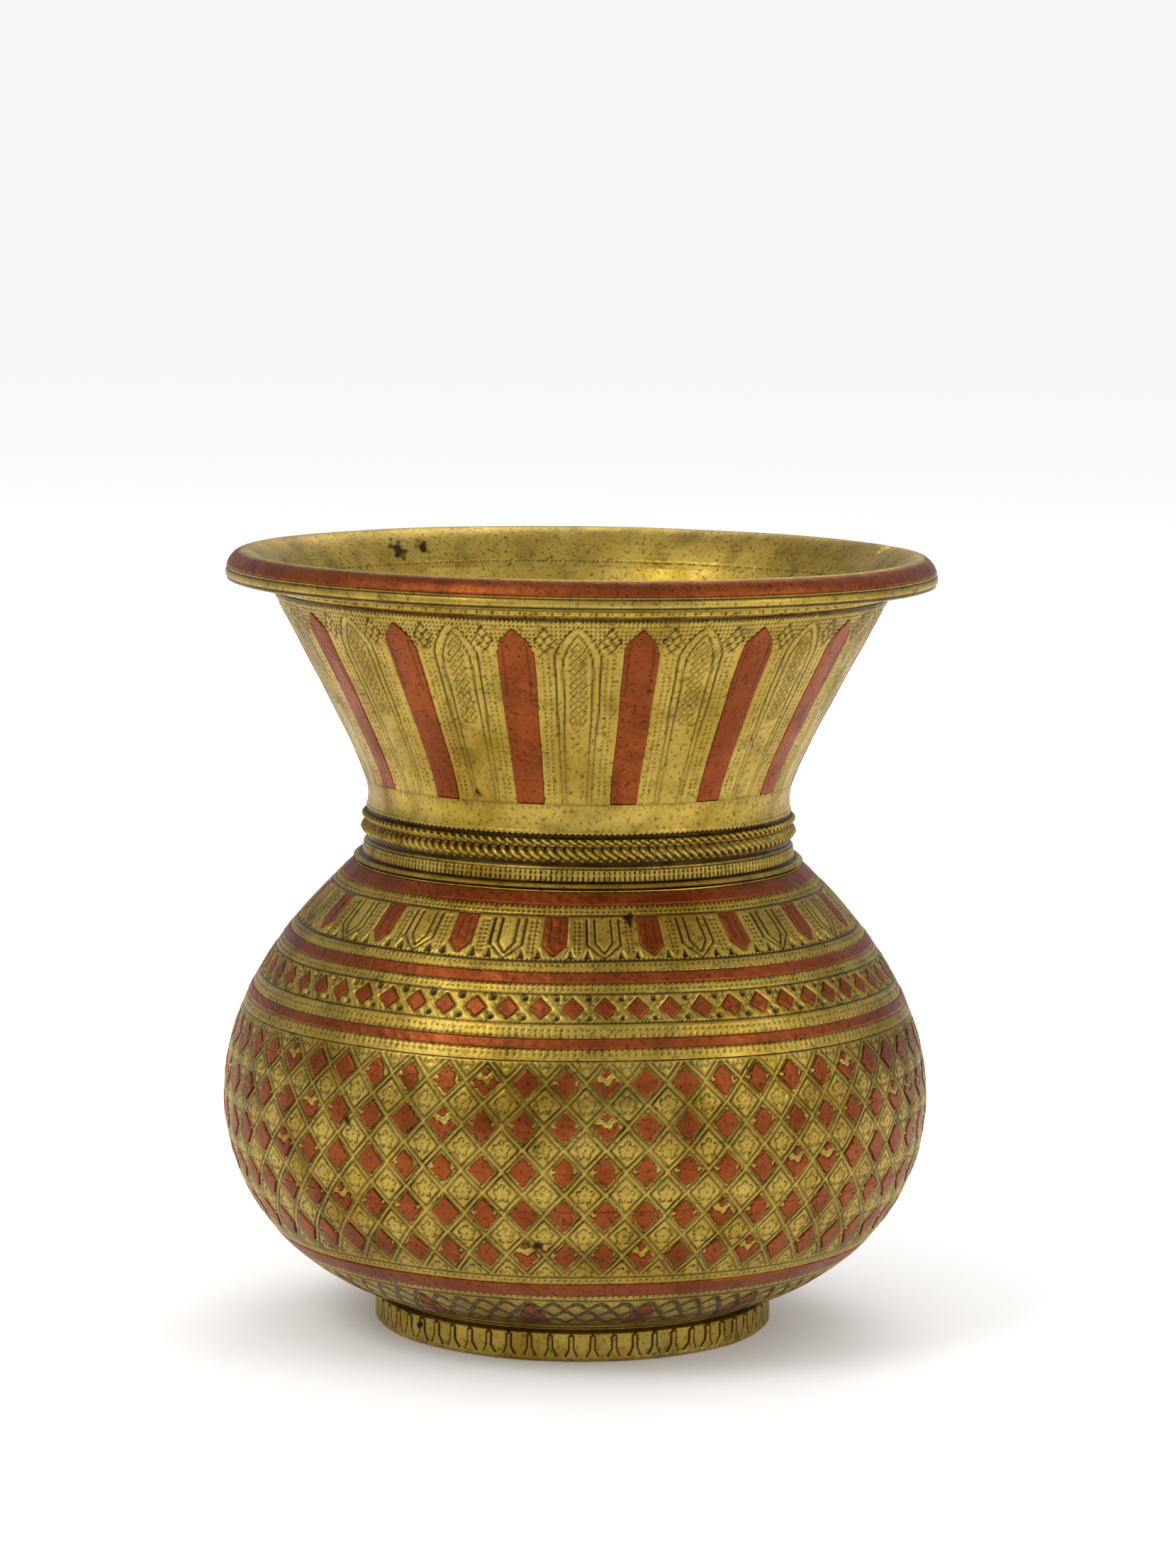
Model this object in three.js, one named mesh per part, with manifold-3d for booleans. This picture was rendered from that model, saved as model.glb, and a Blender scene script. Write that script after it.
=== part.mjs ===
// A lota, the round water pot of South Asia, in cast brass inlaid with hammered copper.
// Millimetres, +Z up, front towards -Y. The origin is the centre of the foot's resting face.
import * as THREE from 'three';
import { mergeVertices } from 'three/addons/utils/BufferGeometryUtils.js';
import Module from 'manifold-3d';

const wasm = await Module();
wasm.setup();

const facets = 48; // flats round the axis of every turned piece

// Foot ring
const footHeight = 6;
const footRadius = 34;
const footRingWidth = 5; // from the outside of the foot to the recess inside it
const footWallHeight = 4.9; // up to the ledge
const footWaistInset = 1.2; // from the wall to the waist above the ledge
const footEdge = 0.5; // bevel round the resting face

// Body
const bodyRadius = 60.1;
const lowerBodyHeight = 33.5; // from the foot to the widest circle
const lowerBulge = 36.75; // horizontal half axis of the lower body's ellipse
const underDip = 1.5; // the same ellipse bottoms out this far below the foot joint
const upperBodyHeight = 40.5; // from the widest circle to the top of the shoulder
const shoulderRadius = 37.6;
const wall = 2.2;
const floorThickness = 2.4;
const baseFilletHeight = 0.7; // moulding where the body meets the foot
const baseFilletOverhang = 1.4; // how far that moulding stands out from the foot's waist

// Moulding between the shoulder and the collar
const shoulderBeadHeight = 0.9;
const necklineHeight = 3;
const necklineInset = 0.9; // from the top of the shoulder to the plain neckline
const spigotHeight = 2.3; // stub of the body inside the collar
const jointInset = 2.1; // from the neckline to the joint tube inside the collar

// Collar ring with its two roped beads
const collarClearance = 0.3; // radial room on the joint tube
const lowerBeadHeight = 2.2;
const upperBeadHeight = 2;
const beadBulge = 0.8;
const collarLipHeight = 1.1; // narrow band above the upper bead
const collarInset = 0.5; // from the neckline to the groove between the beads

// Neck funnel
const throatRadius = 35.9;
const flareHeight = 36.1; // from the collar to the groove under the lip
const flareSlope = 0.5405; // radius gained for each millimetre of height, far up the funnel
const throatLength = 1.3; // from the collar to the narrowest circle
const throatSoftness = 5; // how gently the throat turns into the funnel
const grooveHeight = 0.5; // under the lip
const grooveDepth = 0.5;
const lipFilletHeight = 0.8; // dotted moulding under the lip
const lipFilletOverhang = 1.3;

// Lip
const lipOverhang = 8; // from the top of the funnel to the edge of the lip
const lipThickness = 5.4;
const lipEdgeDrop = 4; // from the crest down to the widest circle
const crestInset = 3.1; // from the widest circle to the crest
const underLipSlope = 0.08;

// Copper inlay
const inlayThickness = 0.6;
const inlayBed = 0.3; // between a pocket's floor and its copper
const inlaySeam = 0.15; // between a pocket's wall and its copper
const cutterReach = 2; // how far a pocket's cutter stands out of the surface

// Copper bands, each measured along the height of the body from the one above
const upperBandGap = 0.4; // below the top of the shoulder
const upperBandWidth = 2.1;
const lappetFriezeHeight = 9.4; // between the upper and the middle band
const middleBandWidth = 2;
const lozengeFriezeHeight = 7.5; // between the middle and the lower band
const lowerBandWidth = 2;
const baseBandHeight = 8.6; // from the foot joint to the base band
const baseBandWidth = 2.4;
const rimBandTop = 0.35; // from the crest down to the rim's copper
const rimBandWidth = 2.3;

// Copper lappets
const neckLappets = 15;
const neckLappetTurn = -12.4; // angle of the first lappet, in degrees from the front
const neckLappetAngle = 7.3; // width, in degrees
const neckLappetFoot = 4.1; // above the collar
const neckLappetBody = 26.3; // height of its straight sides
const neckLappetPoint = 4; // height of its pointed head
const shoulderLappets = 18;
const shoulderLappetTurn = -4.4;
const shoulderLappetWidth = 4.2;
const shoulderLappetLength = 7;
const shoulderLappetPoint = 1.7;
const shoulderLappetGap = 2.3; // along the surface, from the upper band
const baseLappets = 15;
const baseLappetTurn = -8.6;
const baseLappetWidth = 4.4;
const baseLappetLength = 7;
const baseLappetPoint = 3;
const baseLappetGap = 0.9; // along the surface, from the body's lower edge

// Heights that the sizes above lead to
const footInnerRadius = footRadius - footRingWidth;
const waistRadius = footRadius - footWaistInset;
const equatorZ = footHeight + lowerBodyHeight;
const shoulderZ = equatorZ + upperBodyHeight;
const necklineRadius = shoulderRadius - necklineInset;
const jointRadius = necklineRadius - jointInset;
const collarZ = shoulderZ + shoulderBeadHeight + necklineHeight;
const jointZ = collarZ + spigotHeight;
const collarTopZ = collarZ + lowerBeadHeight + upperBeadHeight + collarLipHeight;
const flareTopZ = collarTopZ + flareHeight;
const underLipZ = flareTopZ + grooveHeight + lipFilletHeight;
const crestZ = underLipZ + lipThickness;
const edgeRadius = neckAt(flareTopZ) + lipOverhang;
const edgeZ = crestZ - lipEdgeDrop;
const baseZ = footHeight + baseFilletHeight;
const floorZ = footHeight + floorThickness;

const upperBand = { top: shoulderZ - upperBandGap, width: upperBandWidth };
const middleBand = { top: upperBand.top - upperBand.width - lappetFriezeHeight, width: middleBandWidth };
const lowerBand = { top: middleBand.top - middleBand.width - lozengeFriezeHeight, width: lowerBandWidth };
const baseBand = { top: footHeight + baseBandHeight + baseBandWidth, width: baseBandWidth };
const rimBand = { top: crestZ - rimBandTop, width: rimBandWidth };

const brass = { color: 0xb08d3e, roughness: 0.38, metalness: 1 };
const copper = { color: 0x9a4a2c, roughness: 0.42, metalness: 1 };

const degrees = Math.PI / 180;
const at = (radius, z) => new THREE.Vector2(radius, z);

// Outer radius of the body at a height: a parabola above the widest circle, an ellipse below it
function bodyAt(z) {
  const rise = z - equatorZ;
  if (rise >= 0) return bodyRadius - (bodyRadius - shoulderRadius) * (rise / upperBodyHeight) ** 2;
  const share = Math.min(1, -rise / (lowerBodyHeight + underDip));
  return bodyRadius - lowerBulge * (1 - Math.sqrt(1 - share * share));
}

// Outer radius of the funnel at a height: a hyperbola with its vertex at the throat
function neckAt(z) {
  const rise = z - collarTopZ - throatLength;
  return throatRadius + flareSlope * (Math.hypot(rise, throatSoftness) - throatSoftness);
}

// Slope of a surface, in radius for each millimetre of height
function slopeOf(radiusAt, z) {
  const step = 0.01;
  return (radiusAt(z + step) - radiusAt(z - step)) / (2 * step);
}

// The point of a surface at a height, moved straight into the metal by depth
function sunk(radiusAt, z, depth = 0) {
  const slope = slopeOf(radiusAt, z);
  const length = Math.hypot(1, slope);
  return at(radiusAt(z) - depth / length, z + (depth * slope) / length);
}

// Points up an outer surface, both ends included
function stretch(radiusAt, from, to, steps) {
  return Array.from({ length: steps + 1 }, (_, i) => {
    const z = from + ((to - from) * i) / steps;
    return at(radiusAt(z), z);
  });
}

// Points up the inside of a wall that keeps its thickness
function insideStretch(radiusAt, from, to, steps) {
  return stretch((z) => radiusAt(z) - wall * Math.hypot(1, slopeOf(radiusAt, z)), from, to, steps);
}

// The floor of a band's groove, from its lower edge to its upper one
function groove(band) {
  const depth = inlayThickness + inlayBed;
  return [sunk(bodyAt, band.top - band.width, depth), sunk(bodyAt, band.top, depth)];
}

// A closed outline turned about the Z axis
function turned(outline) {
  const geometry = new THREE.LatheGeometry(outline, facets);
  return geometry.rotateX(Math.PI / 2);
}

function ring(outline) {
  return turned([...outline, outline[0]]);
}

function solidOf(geometry) {
  const bare = geometry.clone();
  bare.deleteAttribute('normal');
  bare.deleteAttribute('uv');
  const merged = mergeVertices(bare, 1e-3);
  return new wasm.Manifold(
    new wasm.Mesh({
      numProp: 3,
      vertProperties: merged.attributes.position.array,
      triVerts: new Uint32Array(merged.index.array),
    }),
  );
}

function geometryOf(solid) {
  const mesh = solid.getMesh();
  const geometry = new THREE.BufferGeometry();
  geometry.setAttribute('position', new THREE.BufferAttribute(mesh.vertProperties, 3));
  geometry.setIndex(new THREE.BufferAttribute(mesh.triVerts, 1));
  return geometry;
}

function cut(geometry, pockets) {
  return geometryOf(pockets.reduce((rest, pocket) => rest.subtract(solidOf(pocket)), solidOf(geometry)));
}

// A slab that follows a surface: rows of [left angle, right angle, height], from low to high
function wrapped(radiusAt, rows, innerDepth, outerDepth) {
  const corners = rows.flatMap(([left, right, z]) =>
    [
      [left, innerDepth],
      [right, innerDepth],
      [right, outerDepth],
      [left, outerDepth],
    ].map(([angle, depth]) => {
      const point = sunk(radiusAt, z, depth);
      return [point.x * Math.sin(angle), -point.x * Math.cos(angle), point.y];
    }),
  );
  const faces = [[0, 1, 2], [0, 2, 3]];
  for (let row = 0; row < rows.length - 1; row += 1) {
    for (let side = 0; side < 4; side += 1) {
      const a = row * 4 + side;
      const b = row * 4 + ((side + 1) % 4);
      faces.push([a, b + 4, b], [a, a + 4, b + 4]);
    }
  }
  const last = (rows.length - 1) * 4;
  faces.push([last, last + 2, last + 1], [last, last + 3, last + 2]);
  const geometry = new THREE.BufferGeometry();
  geometry.setAttribute('position', new THREE.Float32BufferAttribute(corners.flat(), 3));
  geometry.setIndex(faces.flat());
  return geometry;
}

// Rows of a lappet of the neck: straight sides, then a head of two arcs that meet in a point
function neckLappetRows(turn, inset) {
  const foot = collarTopZ + neckLappetFoot + inset;
  const head = collarTopZ + neckLappetFoot + neckLappetBody;
  const tip = head + neckLappetPoint - 2 * inset;
  const bodySteps = 5;
  const headSteps = 4;
  const bluntness = 0.06; // share of the width left at the tip
  const straight = Array.from({ length: bodySteps }, (_, i) => [foot + ((head - foot) * i) / bodySteps, 1]);
  const arched = Array.from({ length: headSteps + 1 }, (_, i) => {
    const share = i / headSteps;
    return [head + (tip - head) * share, Math.max(bluntness, 1 - share ** 1.7)];
  });
  return [...straight, ...arched].map(([z, share]) => {
    const half = (neckLappetAngle / 2) * degrees * share - inset / neckAt(z) * share;
    return [turn - half, turn + half, z];
  });
}

// A flat plate of the given outline, laid on the body's surface with its middle at a height
function plate(outline, turn, z, innerDepth, outerDepth) {
  const geometry = new THREE.ExtrudeGeometry(new THREE.Shape(outline), {
    depth: innerDepth - outerDepth,
    bevelEnabled: false,
  });
  const slope = slopeOf(bodyAt, z);
  const outward = new THREE.Vector3(0, -1, -slope).normalize();
  const across = new THREE.Vector3(1, 0, 0);
  const upward = new THREE.Vector3().crossVectors(outward, across);
  const centre = new THREE.Vector3(0, -bodyAt(z), z).addScaledVector(outward, -innerDepth);
  geometry.applyMatrix4(new THREE.Matrix4().makeBasis(across, upward, outward).setPosition(centre));
  return geometry.rotateZ(turn);
}

// Outline of a lappet that hangs down: square top, pointed foot
function hangingOutline(width, length, point, inset) {
  const half = width / 2 - inset;
  const top = length / 2 - inset;
  const shoulder = point - length / 2;
  const tip = inset - length / 2;
  return [at(-half, top), at(-half, shoulder), at(0, tip), at(half, shoulder), at(half, top)];
}

// Outline of a lappet that stands up: square foot, ogee head
function standingOutline(width, length, point, inset) {
  const half = width / 2 - inset;
  const foot = inset - length / 2;
  const shoulder = length / 2 - point;
  const knee = length / 2 - point / 3;
  const tip = length / 2 - inset;
  return [at(-half, foot), at(half, foot), at(half, shoulder), at(half * 0.62, knee), at(0, tip),
    at(-half * 0.62, knee), at(-half, shoulder)];
}

// Height of the point a distance along the body's surface below a start
function heightAlong(startZ, distance) {
  const slope = slopeOf(bodyAt, startZ - distance / 2);
  return startZ - distance / Math.hypot(1, slope);
}

const neckTurns = Array.from({ length: neckLappets }, (_, i) => neckLappetTurn * degrees + (i * 2 * Math.PI) / neckLappets);
const shoulderTurns = Array.from(
  { length: shoulderLappets },
  (_, i) => shoulderLappetTurn * degrees + (i * 2 * Math.PI) / shoulderLappets,
);
const baseTurns = Array.from({ length: baseLappets }, (_, i) => baseLappetTurn * degrees + (i * 2 * Math.PI) / baseLappets);

const pocketDepth = inlayThickness + inlayBed;
const shoulderLappetZ = heightAlong(
  upperBand.top - upperBand.width,
  shoulderLappetGap + shoulderLappetLength / 2,
);
const baseLappetZ = heightAlong(baseZ, -(baseLappetGap + baseLappetLength / 2));

const shoulderPlate = (turn, inset, inner, outer) =>
  plate(
    hangingOutline(shoulderLappetWidth, shoulderLappetLength, shoulderLappetPoint, inset),
    turn,
    shoulderLappetZ,
    inner,
    outer,
  );
const basePlate = (turn, inset, inner, outer) =>
  plate(standingOutline(baseLappetWidth, baseLappetLength, baseLappetPoint, inset), turn, baseLappetZ, inner, outer);

function footRing() {
  return ring([
    at(footInnerRadius, 0),
    at(footRadius - footEdge, 0),
    at(footRadius, footEdge),
    at(footRadius, footWallHeight),
    at(waistRadius, footWallHeight),
    at(waistRadius, footHeight),
    at(footInnerRadius, footHeight),
  ]);
}

function body() {
  const filletRadius = waistRadius + baseFilletOverhang;
  const outside = [
    at(0, footHeight),
    at(filletRadius, footHeight),
    at(filletRadius, baseZ),
    ...stretch(bodyAt, baseZ, baseBand.top - baseBand.width, 4),
    ...groove(baseBand),
    ...stretch(bodyAt, baseBand.top, lowerBand.top - lowerBand.width, 9),
    ...groove(lowerBand),
    ...stretch(bodyAt, lowerBand.top, middleBand.top - middleBand.width, 2),
    ...groove(middleBand),
    ...stretch(bodyAt, middleBand.top, upperBand.top - upperBand.width, 3),
    ...groove(upperBand),
    at(bodyAt(upperBand.top), upperBand.top),
    at(shoulderRadius, shoulderZ),
    at(shoulderRadius, shoulderZ + shoulderBeadHeight / 2),
    at(necklineRadius, shoulderZ + shoulderBeadHeight),
    at(necklineRadius, collarZ),
    at(jointRadius, collarZ),
    at(jointRadius, jointZ),
  ];
  const inside = [
    ...insideStretch(bodyAt, floorZ, shoulderZ, 11),
    at(jointRadius - wall, collarZ),
    at(jointRadius - wall, jointZ),
  ].reverse();
  const pockets = [
    ...shoulderTurns.map((turn) => shoulderPlate(turn, 0, pocketDepth, -cutterReach)),
    ...baseTurns.map((turn) => basePlate(turn, 0, pocketDepth, -cutterReach)),
  ];
  return cut(turned([...outside, ...inside, at(0, floorZ)]), pockets);
}

function collarRing() {
  const grooveRadius = necklineRadius - collarInset;
  const bead = (foot, height) =>
    [0.2, 0.5, 0.8].map((share) => at(grooveRadius + beadBulge * Math.sin(share * Math.PI), foot + height * share));
  const upperZ = collarZ + lowerBeadHeight;
  const lipZ = upperZ + upperBeadHeight;
  return ring([
    at(jointRadius + collarClearance, collarZ),
    at(grooveRadius, collarZ),
    ...bead(collarZ, lowerBeadHeight),
    at(grooveRadius, upperZ),
    ...bead(upperZ, upperBeadHeight),
    at(grooveRadius, lipZ),
    at(grooveRadius, collarTopZ),
    at(jointRadius + collarClearance, collarTopZ),
  ]);
}

// Outer radius of the lip at a height: a quarter ellipse from its widest circle to its crest
function lipAt(z) {
  const share = Math.min(1, Math.max(0, (z - edgeZ) / lipEdgeDrop));
  return edgeRadius - crestInset * (1 - Math.sqrt(1 - share * share));
}

function neckFunnel() {
  const flareRadius = neckAt(flareTopZ);
  const grooveRadius = flareRadius - grooveDepth;
  const filletRadius = flareRadius + lipFilletOverhang;
  const underRadius = edgeRadius - crestInset / 3;
  const underZ = underLipZ + underLipSlope * (underRadius - flareRadius);
  const depth = inlayThickness + inlayBed;
  const outside = [
    at(jointRadius - wall, jointZ),
    at(jointRadius, jointZ),
    at(jointRadius, collarTopZ),
    ...stretch(neckAt, collarTopZ, flareTopZ, 9),
    at(grooveRadius, flareTopZ),
    at(grooveRadius, flareTopZ + grooveHeight),
    at(filletRadius, flareTopZ + grooveHeight),
    at(filletRadius, underLipZ),
    at(underRadius, underZ),
    at(edgeRadius, (underZ + edgeZ) / 2),
    at(edgeRadius, edgeZ),
    at(lipAt(rimBand.top - rimBand.width), rimBand.top - rimBand.width),
    sunk(lipAt, rimBand.top - rimBand.width, depth),
    sunk(lipAt, rimBand.top, depth),
    at(lipAt(rimBand.top), rimBand.top),
    at(edgeRadius - crestInset, crestZ),
  ];
  const inside = insideStretch(neckAt, collarTopZ + throatLength, underLipZ, 9).reverse();
  const throat = new THREE.Vector2().copy(inside[0]);
  const mouth = new THREE.QuadraticBezierCurve(
    at(edgeRadius - crestInset, crestZ),
    at(edgeRadius - 2 * crestInset, crestZ),
    throat,
  );
  const pockets = neckTurns.map((turn) => wrapped(neckAt, neckLappetRows(turn, 0), depth, -cutterReach));
  return cut(ring([...outside, ...mouth.getPoints(4).slice(1), ...inside.slice(1)]), pockets);
}

// Copper that fills a band's groove, flush with the surface
function bandRing(radiusAt, band) {
  const foot = band.top - band.width + inlaySeam;
  const head = band.top - inlaySeam;
  const middle = (foot + head) / 2;
  return ring([
    sunk(radiusAt, foot, inlayThickness),
    sunk(radiusAt, foot),
    sunk(radiusAt, middle),
    sunk(radiusAt, head),
    sunk(radiusAt, head, inlayThickness),
  ]);
}

const lota = new THREE.Group();
lota.name = 'lota';

function add(name, geometry, finish) {
  geometry.computeVertexNormals();
  const piece = new THREE.Mesh(geometry, new THREE.MeshStandardMaterial(finish));
  piece.name = name;
  lota.add(piece);
}

function addAll(name, turns, makePiece) {
  turns.forEach((turn, i) => add(`${name}_${String(i + 1).padStart(2, '0')}`, makePiece(turn), copper));
}

add('foot_ring', footRing(), brass);
add('bowl', body(), brass);
add('collar_ring', collarRing(), brass);
add('neck_funnel', neckFunnel(), brass);
add('base_band', bandRing(bodyAt, baseBand), copper);
add('belly_band', bandRing(bodyAt, lowerBand), copper);
add('frieze_band', bandRing(bodyAt, middleBand), copper);
add('shoulder_band', bandRing(bodyAt, upperBand), copper);
add('rim_band', bandRing(lipAt, rimBand), copper);
addAll('neck_lappet', neckTurns, (turn) => wrapped(neckAt, neckLappetRows(turn, inlaySeam), inlayThickness, 0));
addAll('shoulder_lappet', shoulderTurns, (turn) => shoulderPlate(turn, inlaySeam, inlayThickness, 0));
addAll('base_lappet', baseTurns, (turn) => basePlate(turn, inlaySeam, inlayThickness, 0));

export default lota;
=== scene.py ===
import math

import bmesh
import bpy
import numpy as np
from mathutils import Matrix, Vector


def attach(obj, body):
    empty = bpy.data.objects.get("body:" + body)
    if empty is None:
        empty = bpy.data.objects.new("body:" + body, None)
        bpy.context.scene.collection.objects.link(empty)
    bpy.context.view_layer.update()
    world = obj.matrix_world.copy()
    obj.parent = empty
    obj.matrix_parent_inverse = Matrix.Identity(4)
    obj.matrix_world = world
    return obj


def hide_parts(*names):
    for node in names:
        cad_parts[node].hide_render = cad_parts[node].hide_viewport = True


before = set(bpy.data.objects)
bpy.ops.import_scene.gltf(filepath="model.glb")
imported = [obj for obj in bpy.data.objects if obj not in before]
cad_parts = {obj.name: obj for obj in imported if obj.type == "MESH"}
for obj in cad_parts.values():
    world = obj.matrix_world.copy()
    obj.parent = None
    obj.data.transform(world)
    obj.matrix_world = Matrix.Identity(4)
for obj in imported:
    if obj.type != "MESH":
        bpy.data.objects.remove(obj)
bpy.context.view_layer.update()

# Sizes in millimetres and angles in degrees, as in the CAD
EQUATOR = 39.5
BODY_R = 60.1
LOWER_HEIGHT, LOWER_INSET = 35.0, 36.75
SHOULDER_Z, SHOULDER_R = 80.0, 37.6
NECK_Z, THROAT_Z, THROAT_R = 89.2, 90.5, 35.9
FLARE, SOFTNESS = 0.5405, 5.0
FLARE_TOP = 125.3
EDGE_R = 60.2
EDGE_Z, CREST_Z, CREST_INSET = 128.0, 132.0, 3.1
FOOT_R, FOOT_IN = 34.0, 29.0
WALL = 2.2
FLOOR_TOP = 8.4
RECESS = 0.2
INLAY = 0.5
OUTLINE_SAMPLES = 400

# Heights at which one ring of the body ends and the next begins
BASE_Z, FRIEZE_Z, FRIEZE_TOP, BOWL_TOP = 6.7, 54.8, 68.1, 79.6
LATTICE_SPLITS = (FRIEZE_Z, 42.6, 30.5, 18.5)

# Outlines as pairs of height and radius
COLLAR = (
    (79.6, 38.0), (80.1, 38.3), (80.5, 37.9), (80.9, 36.8), (82.6, 36.6), (83.6, 36.0),
    (84.0, 36.1), (84.5, 36.8), (85.1, 37.1), (85.7, 36.8), (86.2, 36.2), (86.5, 36.2),
    (87.0, 36.8), (87.4, 36.9), (87.8, 36.5), (88.1, 35.8), (88.6, 36.2), (89.2, 36.0),
)
FLOOR = ((6.0, 0), (6.0, 34.0), (6.5, 34.2), (6.75, 36.0), (FLOOR_TOP, 37.5))
FOOT = ((0, 33.4), (0.5, 33.9), (4.7, 33.9), (4.9, 33.6), (5.2, 32.7), (6.0, 32.9), (6.3, 34.0))

# Repeats of the ornament: the angle of the first one, and the angle from one to the next or the count
NECK_TURN, NECK_PITCH = -12.4, 24.0
SHOULDER_TURN, SHOULDER_PITCH = -4.4, 20.0
BASE_TURN, BASE_PITCH = -8.6, 24.0
LOZENGES, LOZENGE_TURN = 62, -0.4
COLUMNS, COLUMN_TURN = 56, -1.4
LATTICE_ROWS = (51.3, 44.5, 37.1, 29.7, 22.5)
TOP_GAP, ROW_GAP = 6.8, 7.2

# Each dark spot or chip has an angle, a height and a size
STAINS = (
    (-5.8, 24.5, 1.1), (11.5, 75.5, 0.9), (-38, 43, 0.9), (-49, 3.2, 0.8), (14, 113, 0.5), (-27, 95, 0.6),
    (-141, 128.6, 1.5), (-147, 128.9, 1.1), (97, 33, 1.2), (170, 58, 0.9), (-120, 72, 0.8),
)
CHIPS = ((110, CREST_Z, 1.5), (66, 128.6, 1.0))


# Outlines
def body_at(z):
    rise = z - EQUATOR
    upper = BODY_R - (BODY_R - SHOULDER_R) * (rise / (SHOULDER_Z - EQUATOR)) ** 2
    share = np.clip(-rise / LOWER_HEIGHT, 0, 1)
    lower = BODY_R - LOWER_INSET * (1 - np.sqrt(1 - share ** 2))
    return np.where(rise >= 0, upper, lower)


def neck_at(z):
    return THROAT_R + FLARE * (np.hypot(z - THROAT_Z, SOFTNESS) - SOFTNESS)


def collar_at(z):
    return np.interp(z, *zip(*COLLAR))


def spread(r, z, rows):
    """Points spaced evenly along an outline."""
    length = np.concatenate(([0], np.cumsum(np.hypot(np.diff(r), np.diff(z)))))
    places = np.linspace(0, length[-1], rows)
    return np.interp(places, length, r), np.interp(places, length, z)


def even(radius_at, low, high, rows):
    """Points of an outline between two heights, spaced evenly along it."""
    z = np.linspace(low, high, OUTLINE_SAMPLES)
    z = spread(radius_at(z), z, rows)[1]
    return radius_at(z), z


def curve(share, first, pull, last):
    """A curve from first to last that bends towards pull."""
    return (1 - share) ** 2 * first + 2 * share * (1 - share) * pull + share ** 2 * last


def rim_outline(rows):
    """The lip, from its underside over the crest and down to the mouth."""
    flare = float(neck_at(FLARE_TOP))
    crest = EDGE_R - CREST_INSET
    under_r, under_z = zip(
        (flare, FLARE_TOP), (flare - 0.4, 125.35), (flare - 0.4, 125.75), (flare + 1.2, 125.8),
        (flare + 1.4, 126.0), (flare + 1.4, 126.6), (EDGE_R - 1.0, 127.05), (EDGE_R - 0.3, 127.3),
        (EDGE_R, EDGE_Z),
    )
    turn = np.linspace(0, math.pi / 2, 26)[1:]
    edge_r = EDGE_R - CREST_INSET * (1 - np.cos(turn))
    edge_z = EDGE_Z + (CREST_Z - EDGE_Z) * np.sin(turn)
    share = np.linspace(0, 1, 12)[1:]
    mouth_r = curve(share, crest, crest - CREST_INSET, flare - 2.5)
    mouth_z = curve(share, CREST_Z, CREST_Z, FLARE_TOP)
    r = np.concatenate([under_r, edge_r, mouth_r])
    z = np.concatenate([under_z, edge_z, mouth_z])
    return spread(r, z, rows)


# Marks, each a strength from 0 to 1
def stroke(distance, half):
    return np.clip(2.0 * (1 - np.abs(distance) / half), 0, 1)


def wrap(angle, pitch):
    return (angle + pitch / 2) % pitch - pitch / 2


def dots(t, r, z, level, pitch, size=0.26):
    x = np.radians(wrap(t, pitch)) * r
    return stroke(np.hypot(x, z - level), size)


def between(z, low, high):
    return (z > low) & (z < high)


def most(*marks):
    return np.maximum.reduce(marks)


def per_degree(r):
    return np.radians(1) * r


def no_copper(z):
    return np.zeros(z.shape, int)


# Ornament at angle t, radius r and height z: the depth of engraving, the darkness, and a number for each
# kind of copper, or 0 for brass. In each one, mm is the length of a degree.
def neck_marks(t, r, z):
    mm = per_degree(r)
    a = wrap(t - NECK_TURN, NECK_PITCH)
    b = wrap(t - NECK_TURN - NECK_PITCH / 2, NECK_PITCH)
    low, knot = 93.4, 121.6
    head = 1 - np.clip((z - 119.6) / 4.0, 0, 1) ** 1.7
    copper = (np.abs(a) < 3.6 * head) & between(z, low, 123.6)

    def arch_half(width, growth, start, height):
        return (width + (z - 93) * growth) * (1 - np.clip((z - start) / height, 0, 1) ** 2.2)

    outer = arch_half(3.6, 0.04, 117, 7)
    inner = arch_half(2.55, 0.02, 116, 6.6)
    outer_arch = stroke((np.abs(b) - outer) * mm, 0.24) * between(z, low, 124)
    inner_arch = stroke((np.abs(b) - inner) * mm, 0.22) * between(z, low, 122.6)
    x = b * mm
    hatch = most(stroke(wrap(z + x * 0.9, 1.2), 0.2), stroke(wrap(z - x * 0.9, 1.2), 0.2))
    hatch = hatch * (np.abs(b) < inner * 0.62) * between(z, 107, 121.5)
    lane = (np.abs(b) - 6.2) * mm
    column = stroke(np.hypot(np.abs(lane) - 0.48, wrap(z, 0.78)), 0.24) * between(z, 93.6, 119.5)
    from_knot = np.abs(lane) / 1.5 + np.abs(z - knot) / 2.1
    diamond = stroke(from_knot - 1, 0.16)
    cross = stroke(np.abs(lane) - np.abs(z - knot) * 0.8, 0.2) * between(z, 120.8, 122.4)
    ground = stroke(np.hypot(wrap(x, 0.7), wrap(z, 0.7)), 0.24)
    ground = ground * (z > 120.5) * (np.abs(b) > outer + 0.5) * ~copper * (from_knot > 1.1)
    fine = dots(t, r, z, 90.5, 1.2, 0.2) + dots(t, r, z, 89.8, 1.2, 0.2)
    ticks = stroke(wrap(t, 1.6) * mm, 0.2) * between(z, 92.5, 93.1)
    edges = most(stroke(z - 93.35, 0.2), stroke(z - 125.1, 0.3))
    vein = stroke((np.abs(a) - 2.5 * head) * mm, 0.2) * between(z, 112, 121.8) * 0.6
    fade = np.clip((z - 88) / 25, 0.45, 1)
    marks = most(outer_arch, inner_arch, hatch * 0.8, diamond, cross, ground, ticks * 0.6, edges) * fade
    dark = most(marks, column * 0.8, vein)
    return 0.14 * most(dark, fine * 0.5), dark, np.where(copper, 1, 0)


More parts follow.
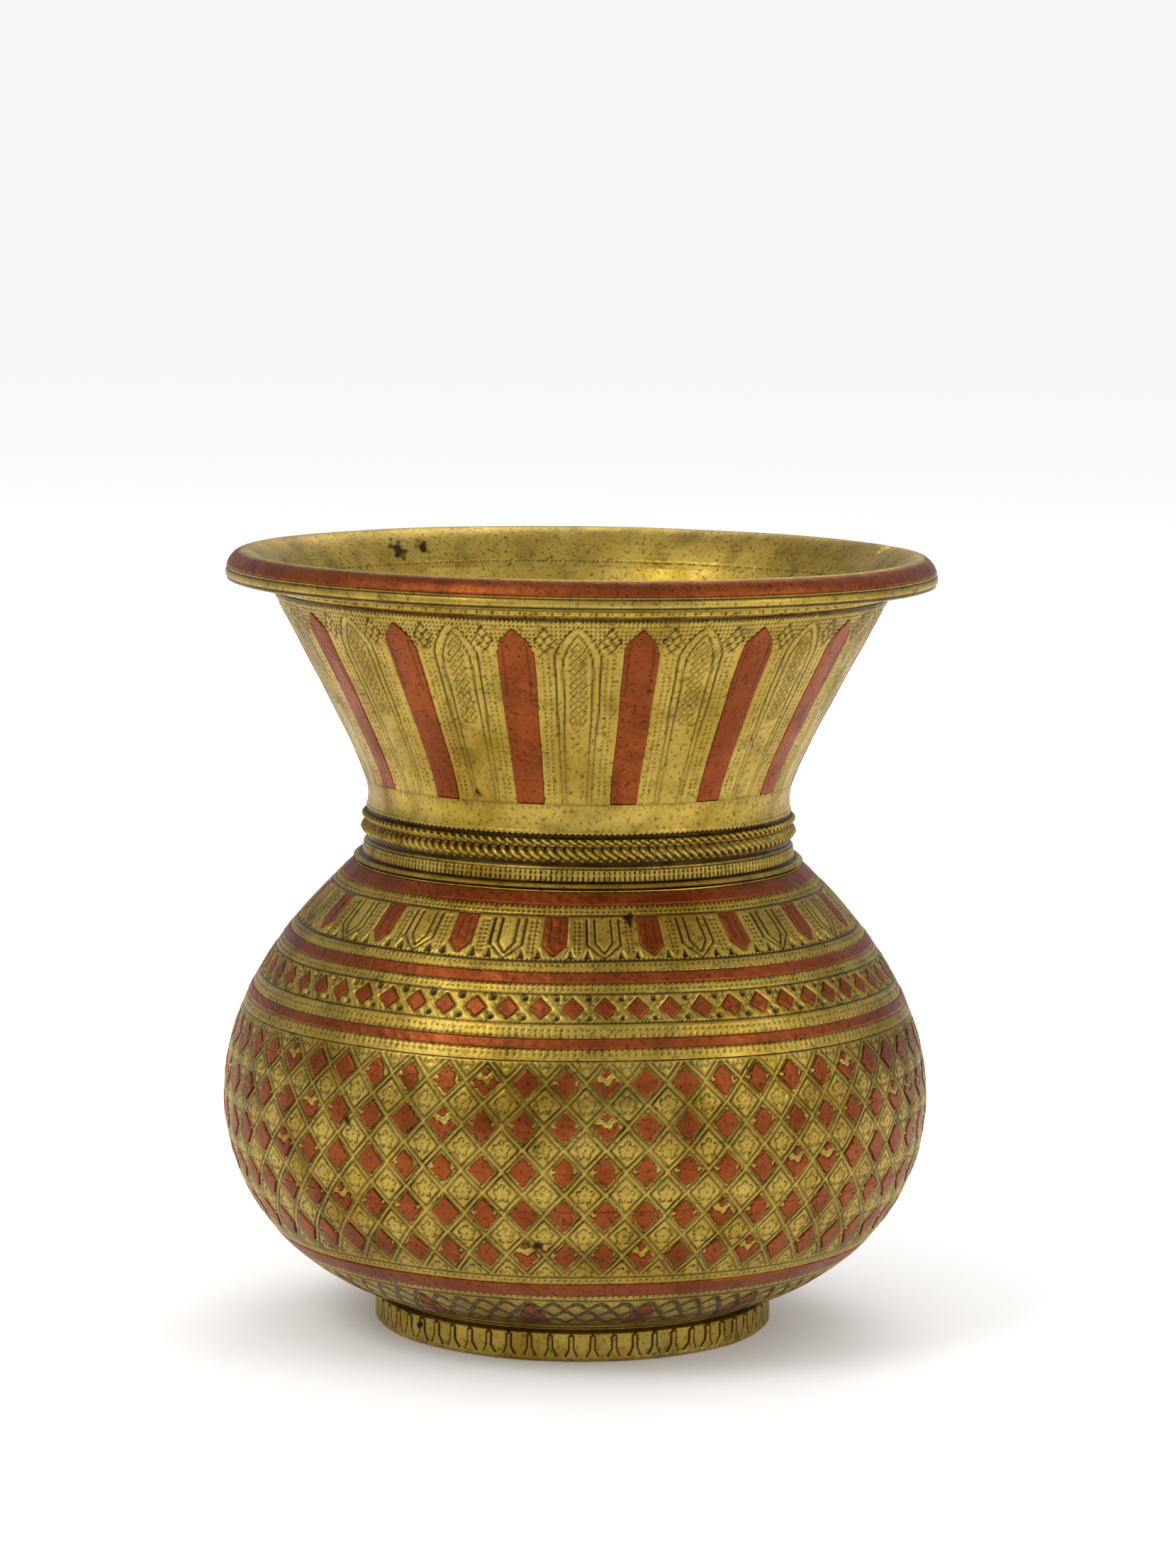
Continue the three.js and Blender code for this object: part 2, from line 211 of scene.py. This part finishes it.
def collar_marks(t, r, z):
    low_rope = stroke(wrap(t + (z - 85.1) * 1.1, 2.5), 0.62) * between(z, 84.05, 86.2)
    high_rope = stroke(wrap(t + (z - 87.2) * 1.1, 2.4), 0.6) * between(z, 86.55, 87.95)
    dash = stroke(wrap(t, 1.35), 0.36) * (between(z, 81.1, 81.7) | between(z, 81.95, 82.5))
    small = stroke(wrap(t, 1.5), 0.4) * between(z, 88.3, 88.7)
    lines = ((83.6, 0.5), (86.35, 0.2), (88.05, 0.25), (80.85, 0.25), (82.85, 0.18), (79.7, 0.2))
    groove = most(*(stroke(z - level, half) for level, half in lines))
    depth = 0.42 * most(low_rope, high_rope) + 0.22 * most(dash, small * 0.7) + 0.12 * groove
    return depth, most(low_rope * 0.8, high_rope * 0.8, dash, small, groove), no_copper(z)


def shoulder_marks(t, r, z):
    mm = per_degree(r)
    a = wrap(t - SHOULDER_TURN, SHOULDER_PITCH)
    b = wrap(t - SHOULDER_TURN - SHOULDER_PITCH / 2, SHOULDER_PITCH)
    tip, top = 70.1, 75.6
    lappet = (np.abs(a) < 2.65 * np.clip((z - tip) / 1.65, 0, 1)) & between(z, tip, 75.95)
    band = between(z, 77.55, 79.5)

    def petal(width, start, height, half):
        side = np.abs(b) - width * np.clip((z - start) / height, 0, 1)
        return stroke(side * mm, half) * between(z, start, top)

    outer = petal(3.5, 69.75, 2.15, 0.3)
    inner = petal(1.8, 70.5, 1.7, 0.28)
    vein = stroke((np.abs(a) - 0.95) * mm, 0.2) * between(z, 72.1, 75.4)
    lane = (np.abs(a) - 4.6) * mm
    column = stroke(np.hypot(np.abs(lane) - 0.38, wrap(z, 0.6)), 0.25) * between(z, 70.4, 75.5)
    notch = np.minimum(np.abs(np.abs(a) - 3.2), np.abs(np.abs(a) - 6.6))
    notch = np.clip(3 * (0.95 * (71.5 - z) / 1.7 - notch), 0, 1) * between(z, 69.8, 71.5)
    rows = most(dots(t, r, z, 77.3, 1.25), dots(t, r, z, 76.6, 1.2, 0.22), dots(t, r, z, 68.9, 1.1, 0.22))
    edges = most(stroke(z - 76.05, 0.2), stroke(z - 69.5, 0.22))
    ticks = stroke(wrap(t, 0.95) * mm, 0.18) * between(z, 69.55, 69.8)
    marks = most(outer, inner, column, rows, edges, ticks, vein * 0.7)
    return 0.15 * marks + 0.45 * notch, most(marks, notch), np.where(band, 2, np.where(lappet, 1, 0))


def frieze_marks(t, r, z):
    mm = per_degree(r)
    pitch = 360 / LOZENGES
    a = wrap(t - LOZENGE_TURN, pitch)
    middle = 62.6
    lozenge = np.abs(a) / 2.3 + np.abs(z - middle) / 1.85 < 1
    upper, lower = between(z, 66.2, 67.95), between(z, 56.5, 58.35)
    side = (pitch / 2 - np.abs(a)) * mm
    hole = most(*(stroke(np.hypot(side, (z - level) * 1.25), 0.6) for level in (64.1, 61.2)))
    strap = np.abs(a) / (pitch / 2) + np.abs(z - middle) / 2.3
    dotted = stroke(wrap(strap, 0.24) * 2.4, 0.18) * stroke(wrap(z + a * 0.8, 0.62), 0.24) * (strap > 0.95)
    dotted = dotted * between(z, 60.6, 64.5)
    levels = (68.05, 66.05, 65.4, 59.4, 58.5, 56.35, 55.7)
    rows = most(*(dots(t, r, z, level, 1.1, 0.22) for level in levels))
    edges = most(stroke(z - 64.75, 0.18), stroke(z - 60.3, 0.18))
    marks = most(dotted, rows, edges)
    kind = np.where(upper, 1, np.where(lower, 2, np.where(lozenge, 3, 0)))
    return 0.13 * marks + 0.45 * hole, most(marks, hole), kind


def rosette(x, y):
    """Five open petals round a dot."""
    petals = stroke(np.hypot(x, y), 0.2)
    for k in range(5):
        turn = math.radians(90 + 72 * k)
        cx, cy = math.cos(turn), math.sin(turn)
        out = (x - cx) * math.cos(turn) + (y - cy) * math.sin(turn)
        petals = most(petals, stroke(np.hypot(x - cx, y - cy) - 0.42, 0.18) * (out > -0.12))
    return petals


def lattice_marks(t, r, z):
    mm = per_degree(r)
    pitch = 360 / COLUMNS
    p = (t - COLUMN_TURN) / pitch
    top, bottom, last = LATTICE_ROWS[0], LATTICE_ROWS[-1], len(LATTICE_ROWS) - 1
    q = np.interp(z, LATTICE_ROWS[::-1], np.arange(last + 1)[::-1])
    q = np.where(z > top, -(z - top) / TOP_GAP, q)
    q = np.where(z < bottom, last + (bottom - z) / ROW_GAP, q)
    column, row = np.round(p).astype(int) % COLUMNS, np.round(q).astype(int)
    size = 0.78 + 0.03 * np.sin(column * 12.9 + row * 78.2)
    dp, dq = wrap(p, 1), wrap(q, 1)
    cell = 2 * (np.abs(dp) + np.abs(dq))
    ragged = 0.02 * np.sin(t * 2.1 + z * 1.3) + 0.012 * np.sin(t * 5.3 - z * 3.1)
    inside = between(z, 18.9, 54.4)
    copper = (cell + ragged < size) & inside & (np.abs(dp) < 0.385) & (row >= 0) & (row <= last)
    chance = (np.sin(column * 37.7 + row * 91.3) * 43758.5) % 1
    nick = np.hypot((np.abs(dp) - 0.26) * pitch * mm, dq * ROW_GAP + 0.15) < 0.24
    lost = np.abs(dq * ROW_GAP + 0.9 * chance - 0.4 * np.cos(dp * 16)) < 0.5 + 0.2 * np.sin(dp * 25)
    copper = copper & ~(nick & (chance < 0.5)) & ~(lost & (cell < 0.66) & (chance > 0.86))
    fp, fq = wrap(p + 0.5, 1), wrap(q + 0.5, 1)
    flower = 2 * (np.abs(fp) + np.abs(fq))
    lines = most(stroke((cell - 0.86) * 2.1, 0.25), stroke((flower - 0.82) * 2.1, 0.25)) * inside
    petals = rosette(fp * pitch * mm, -fq * ROW_GAP) * inside
    soft = 0.82 + 0.18 * np.sin(t * 0.31 + z * 0.4) * np.sin(t * 0.13 - z * 0.7)
    edges = most(stroke(z - 54.75, 0.25), stroke(z - 18.5, 0.25))
    marks = most(lines, petals, edges)
    return 0.12 * marks, marks * soft, np.where(copper, 1, 0)


def base_marks(t, r, z):
    mm = per_degree(r)
    a = wrap(t - BASE_TURN, BASE_PITCH)
    head = np.clip((z - 9.6) / 3.2, 0, 1)
    lappet = (np.abs(a) * mm < 2.1 * (1 - head ** 1.5)) & between(z, 7.5, 12.8)
    band = between(z, 14.6, 17.0)
    edges = most(stroke(z - 18.45, 0.2), stroke(z - 13.6, 0.2))
    marks = most(edges, dots(t, r, z, 17.9, 1.2, 0.24), dots(t, r, z, 14.3, 1.3, 0.26))
    for row in range(3):
        s = wrap(t - BASE_TURN + row * 2.4, 4.8)
        tip = 13.1 - 1.9 * row
        for inset in (0, 0.5):
            scale = tip - inset - 0.55 * (np.abs(s) * mm) ** 1.5
            marks = most(marks, stroke(z - scale, 0.26) * between(z, tip - 2.6, tip))
    # Painted shade: the brass darkens towards the bottom of the base, where the body curves in under itself
    # to the foot
    shade = np.clip((10 - z) / 5, 0, 0.7)
    return 0.16 * marks, most(marks, shade), np.where(band, 1, np.where(lappet, 2, 0))


def foot_marks(t, r, z):
    x = wrap(t + 0.35 * np.sin(t), 6.0) * per_degree(r)
    splay = np.clip(2.2 - z, 0, 1.4) * 0.5
    pair = stroke(np.abs(x) - 0.5 - splay, 0.24) * between(z, 0.8, 4.4)
    close = stroke(np.hypot(x, np.minimum(0, 4.0 - z)) - 0.5, 0.24) * between(z, 3.9, 4.7)
    # The band at 5.6 mm, in the narrow step under the body, is painted shade as well as a shallow groove
    marks = most(pair, close, stroke(z - 5.6, 0.5) * (r < FOOT_R - 0.3))
    return 0.2 * marks, marks, no_copper(z)


def rim_marks(t, r, z):
    band = between(z, 129.6, 131.8) & (r > 57)
    fine = dots(t, r, z, 126.3, 0.95, 0.22) * (r < 55.5)
    line = most(stroke(z - 129.1, 0.2), stroke(z - 127.6, 0.25)) * (r > 57)
    chip = sum(stroke(np.hypot(np.radians(t - turn) * r, z - height), size) for turn, height, size in CHIPS)
    marks = most(fine, line)
    return 0.18 * marks + 0.45 * chip, marks, np.where(band & (chip == 0), 1, 0)


def plain(t, r, z):
    return np.zeros(z.shape), np.zeros(z.shape), no_copper(z)


def stains(t, r, z):
    """Dark spots of old corrosion, none of them on the outside of the lip."""
    spots = np.zeros(z.shape)
    edge = 1 + 0.25 * np.sin(t * 3.1 + z * 2.7) + 0.2 * np.sin(t * 1.3 - z * 4.1)
    for turn, height, size in STAINS:
        away = np.hypot(np.radians(wrap(t - turn, 360)) * r, z - height) / size
        spots = most(spots, np.clip(2.2 - 2 * away * edge, 0, 1))
    return spots * ~((z > 126) & (r > 57))


# Materials
def linear(*rgb):
    return tuple((c / 255 / 12.92 if c < 11 else ((c / 255 + 0.055) / 1.055) ** 2.4) for c in rgb) + (1.0,)


def grey(level):
    return (level, level, level, 1)


def mixed(tree, factor, first, second):
    """A mix of two colours, each a fixed one or another node's output."""
    node = tree.nodes.new("ShaderNodeMix")
    node.data_type = "RGBA"
    tree.links.new(factor, node.inputs["Factor"])
    for side, color in (("A", first), ("B", second)):
        if isinstance(color, tuple):
            node.inputs[side].default_value = color
        else:
            tree.links.new(color, node.inputs[side])
    return node.outputs["Result"]


def metal(name, light, middle, dark, grime_and_painted_shade, roughness):
    material = bpy.data.materials.new(name)
    material.use_nodes = True
    tree = material.node_tree
    nodes, links = tree.nodes, tree.links
    shader = nodes["Principled BSDF"]
    shader.inputs["Metallic"].default_value = 1.0
    place = nodes.new("ShaderNodeTexCoord").outputs["Object"]

    def noise(scale, detail):
        node = nodes.new("ShaderNodeTexNoise")
        node.inputs["Scale"].default_value = scale
        node.inputs["Detail"].default_value = detail
        links.new(place, node.inputs["Vector"])
        return node.outputs["Fac"]

    def ramp(source, *stops):
        node = nodes.new("ShaderNodeValToRGB")
        links.new(source, node.inputs["Fac"])
        stop = node.color_ramp.elements
        stop[0].position, stop[0].color = stops[0]
        stop[1].position, stop[1].color = stops[-1]
        for position, color in stops[1:-1]:
            stop.new(position).color = color
        return node.outputs["Color"]

    clean = ramp(noise(45, 6), (0.34, middle), (0.5, light), (0.68, middle))
    dirt_and_painted_shade = ramp(noise(300, 3), (0.3, dark), (0.8, grime_and_painted_shade))
    speckle = ramp(noise(1500, 5), (0.54, grey(0)), (0.70, grey(0.7)))
    smudge = ramp(noise(210, 8), (0.5, grey(0)), (0.74, grey(0.42)))
    # The point attribute read here darkens the metal towards the dirt colour: real engraved lines and stains,
    # and painted shade low on the base and in the step above the foot
    marks = nodes.new("ShaderNodeAttribute")
    marks.attribute_name = "patina_and_painted_shade"
    worn = mixed(tree, smudge, mixed(tree, speckle, clean, dirt_and_painted_shade), dirt_and_painted_shade)
    links.new(mixed(tree, marks.outputs["Fac"], worn, dirt_and_painted_shade), shader.inputs["Base Color"])
    gloss = ramp(noise(160, 4), (0.3, grey(roughness)), (0.8, grey(roughness + 0.2)))
    links.new(gloss, shader.inputs["Roughness"])
    bump = nodes.new("ShaderNodeBump")
    bump.inputs["Strength"].default_value = 0.35
    bump.inputs["Distance"].default_value = 0.0002
    links.new(noise(700, 5), bump.inputs["Height"])
    links.new(bump.outputs["Normal"], shader.inputs["Normal"])
    return material


BRASS = metal(
    "aged_brass", light=linear(190, 162, 76), middle=linear(160, 130, 46),
    dark=linear(34, 24, 12), grime_and_painted_shade=linear(78, 58, 25), roughness=0.36,
)
COPPER = metal(
    "worn_copper", light=linear(150, 78, 38), middle=linear(124, 60, 27),
    dark=linear(40, 24, 14), grime_and_painted_shade=linear(76, 42, 22), roughness=0.38,
)


# Meshes
def join_centres(mesh):
    """A disc's innermost points become one at each height."""
    shape = bmesh.new()
    shape.from_mesh(mesh)
    bmesh.ops.remove_doubles(shape, verts=shape.verts, dist=1e-6)
    loose = [edge for edge in shape.edges if not edge.link_faces]
    bmesh.ops.delete(shape, geom=loose, context="EDGES")
    shape.to_mesh(mesh)
    shape.free()


def piece_of(name, points, faces, patina_and_painted_shade, material, nodes):
    mesh = bpy.data.meshes.new(name)
    mesh.from_pydata((points / 1000).tolist(), [], faces.tolist())
    mesh.attributes.new("patina_and_painted_shade", "FLOAT", "POINT").data.foreach_set("value", patina_and_painted_shade.astype(np.float32))
    if not points[0][:2].any():
        join_centres(mesh)
    mesh.materials.append(material)
    mesh.shade_smooth()
    mesh.set_sharp_from_angle(angle=math.radians(60))
    piece = bpy.data.objects.new(name, mesh)
    bpy.context.collection.objects.link(piece)
    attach(piece, "root")
    if nodes:
        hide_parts(*nodes)
    return piece


def around(turn, radius, level):
    return np.stack([radius * np.sin(turn), -radius * np.cos(turn), level], axis=-1)


def grid_faces(rows, steps):
    """Four-sided faces of a surface that closes on itself both ways."""
    i, j = np.meshgrid(np.arange(rows), np.arange(steps), indexing="ij")
    up, right = (i + 1) % rows, (j + 1) % steps
    corners = (i * steps + j, i * steps + right, up * steps + right, up * steps + j)
    return np.stack(corners, axis=-1).reshape(-1, 4)


def handwork(t, r, z):
    """Small errors of the hand: a shift round the pot in degrees, one along its surface and one out of it."""
    turn = np.radians(t)
    sway = 0.10 * np.sin(turn * 5 + z * 0.21) + 0.06 * np.sin(turn * 13 + z * 0.5)
    wave = 0.12 * np.sin(turn * 3 + 1) + 0.08 * np.sin(turn * 7)
    wave = wave * np.clip((z - 9) / 10, 0, 1) * np.clip((79 - z) / 4, 0, 1)
    swell = 0.05 * np.sin(turn * 7 + z * 0.3) * np.sin(z * 0.35 + turn * 3)
    return sway, wave, swell * np.clip(r / 3, 0, 1)


def ring(name, outline, inner, steps, marks, node, inlays=()):
    """A closed ring: an engraved outside, an inner outline from top to bottom, and its copper inlays."""
    r, z = outline
    length = np.hypot(np.gradient(r), np.gradient(z))
    nr, nz = np.gradient(z) / length, -np.gradient(r) / length
    angle = np.arange(steps) * 360 / steps - 180
    t, rr = np.meshgrid(angle, r)
    zz = np.meshgrid(angle, z)[1]
    sway, wave, swell = handwork(t, rr, zz)
    depth, patina_and_painted_shade, kind = marks(t, rr, zz)
    patina_and_painted_shade = most(patina_and_painted_shade, stains(t, rr, zz))
    copper = kind > 0

    def surface(height):
        radius = rr + height * nr[:, None] - wave * nz[:, None]
        level = zz + height * nz[:, None] + wave * nr[:, None]
        return around(np.radians(t - sway), radius, level)

    outer = surface(swell - np.where(copper, RECESS, depth))
    inside = [around(np.radians(angle), inner_r, np.full(steps, inner_z)) for inner_r, inner_z in inner]
    points = np.concatenate([outer, np.array(inside)])
    faces = grid_faces(len(points), steps)
    shade = np.zeros(points.shape[:2])
    shade[: len(z)] = patina_and_painted_shade * ~copper
    piece_of(name, points.reshape(-1, 3), faces, shade.ravel(), BRASS, [node])

    hammered = 0.03 * np.sin(t * 1.9 + zz * 2.3) * np.sin(t * 0.7 - zz * 1.7)
    top = surface(swell + 0.04 - depth * 0.8 + hammered).reshape(-1, 3)
    outer_faces = faces[: (len(z) - 1) * steps]
    for number, (label, nodes) in enumerate(inlays, start=1):
        chosen = outer_faces[np.all((kind.ravel() == number)[outer_faces], axis=1)]
        used, index = np.unique(chosen, return_inverse=True)
        # The copper inlays take the same darkening at 0.8: engraved lines, stains, and the painted shade low
        # on the base
        worn = 0.8 * patina_and_painted_shade.ravel()[used]
        inlay = piece_of(label, top[used], index.reshape(-1, 4), worn, COPPER, nodes)
        solid = inlay.modifiers.new("thickness", "SOLIDIFY")
        solid.thickness = INLAY / 1000
        solid.offset = -1


def wall_inside(radius_at, low, high):
    """The inner outline of a wall, from top to bottom."""
    z = np.linspace(high, low, 5)
    slope = (radius_at(z + 0.01) - radius_at(z - 0.01)) / 0.02
    return list(zip(radius_at(z) - WALL * np.hypot(1, slope), z))


def belly_ring(name, low, high, rows, steps, marks, inlays):
    inner = wall_inside(body_at, max(low, FLOOR_TOP), high)
    ring(name, even(body_at, low, high, rows), inner, steps, marks, "bowl", inlays)


def numbered(name, count):
    return [f"{name}_{i + 1:02d}" for i in range(count)]


belly_ring(
    "shoulder_ring", FRIEZE_TOP, BOWL_TOP, 60, 1260, shoulder_marks,
    [("shoulder_lappets", numbered("shoulder_lappet", 18)), ("shoulder_band_copper", ["shoulder_band"])],
)
belly_ring(
    "frieze_ring", FRIEZE_Z, FRIEZE_TOP, 56, 1240, frieze_marks,
    [("frieze_band_copper", ["frieze_band"]), ("belly_band_copper", ["belly_band"]), ("frieze_lozenges", [])],
)
for count, (high, low) in enumerate(zip(LATTICE_SPLITS, LATTICE_SPLITS[1:]), start=1):
    lozenges = [(f"lattice_lozenges_{count}", [])]
    belly_ring(f"lattice_ring_{count}", low, high, 44, COLUMNS * 24, lattice_marks, lozenges)
belly_ring(
    "base_ring", BASE_Z, LATTICE_SPLITS[-1], 52, 1200, base_marks,
    [("base_band_copper", ["base_band"]), ("base_lappets", numbered("base_lappet", 15))],
)
floor_z, floor_r = np.array(FLOOR).T
ring("floor_plate", (floor_r, floor_z), [(0, FLOOR_TOP)], 240, plain, "bowl")
collar_inside = [(33.8, NECK_Z), (32.8, 84.0), (34.4, BOWL_TOP)]
ring("roped_collar", even(collar_at, BOWL_TOP, NECK_Z, 66), collar_inside, 1200, collar_marks, "collar_ring")
ring(
    "neck", even(neck_at, NECK_Z, FLARE_TOP, 104), wall_inside(neck_at, NECK_Z, FLARE_TOP), 900,
    neck_marks, "neck_funnel", [("neck_lappets", numbered("neck_lappet", 15))],
)
lip_inside = [(float(neck_at(FLARE_TOP)) - 1.2, FLARE_TOP)]
ring("lip", rim_outline(110), lip_inside, 900, rim_marks, "neck_funnel", [("rim_band_copper", ["rim_band"])])
foot_z = np.concatenate([np.linspace(0, 0.5, 4), np.linspace(0.6, 4.7, 30), [4.9, 5.0, 5.2, 5.7, 6.0, 6.3]])
foot_r = np.interp(foot_z, *zip(*FOOT))
foot_inside = [(FOOT_IN, 6.2), (FOOT_IN, 0.4), (FOOT_IN + 0.4, 0.0)]
ring("foot", (foot_r, foot_z), foot_inside, 1080, foot_marks, "foot_ring")

# Stage
bpy.ops.mesh.primitive_plane_add(size=60)
floor = bpy.context.object
floor.name = "floor"
floor.location.z = -0.0001
paper = bpy.data.materials.new("paper")
paper.use_nodes = True
matte = paper.node_tree.nodes["Principled BSDF"].inputs
matte["Base Color"].default_value = grey(0.98)
matte["Roughness"].default_value = 0.9
matte["Specular IOR Level"].default_value = 0
floor.data.materials.append(paper)


def softbox(name, place, size, power):
    """A square lamp that faces the middle of the pot."""
    lamp = bpy.data.lights.new(name, "AREA")
    lamp.size = size
    lamp.energy = power
    box = bpy.data.objects.new(name, lamp)
    bpy.context.collection.objects.link(box)
    aim = Vector((0, 0, 0.06)) - Vector(place)
    box.location = place
    box.rotation_euler = aim.to_track_quat("-Z", "Y").to_euler()


softbox("key", (-0.9, -0.8, 1.2), 0.7, 9)
softbox("fill", (1.1, -0.6, 0.7), 0.6, 4)
softbox("back", (0.2, 0.9, 1.2), 0.7, 4)

# The room is bright, darker in reflections, and nearly white where the camera sees it
world = bpy.data.worlds.new("studio")
bpy.context.scene.world = world
world.use_nodes = True
room = world.node_tree
ray = room.nodes.new("ShaderNodeLightPath").outputs
lit = mixed(room, ray["Is Glossy Ray"], grey(0.95), (0.5, 0.5, 0.52, 1))
seen = mixed(room, ray["Is Camera Ray"], lit, grey(0.93))
room.links.new(seen, room.nodes["Background"].inputs["Color"])

# The camera that was fitted to the photograph
camera_data = bpy.data.cameras.new("camera")
camera_data.lens = 114.2
camera_data.sensor_width = 36
camera = bpy.data.objects.new("camera", camera_data)
bpy.context.collection.objects.link(camera)
tilt, roll = math.radians(90 - 7.229), math.radians(0.733)
stand = Matrix.Translation((0.00152, -0.840, 0.1989))
camera.matrix_world = stand @ Matrix.Rotation(tilt, 4, "X") @ Matrix.Rotation(roll, 4, "Z")
bpy.context.scene.camera = camera
bpy.context.scene.view_settings.view_transform = "Standard"
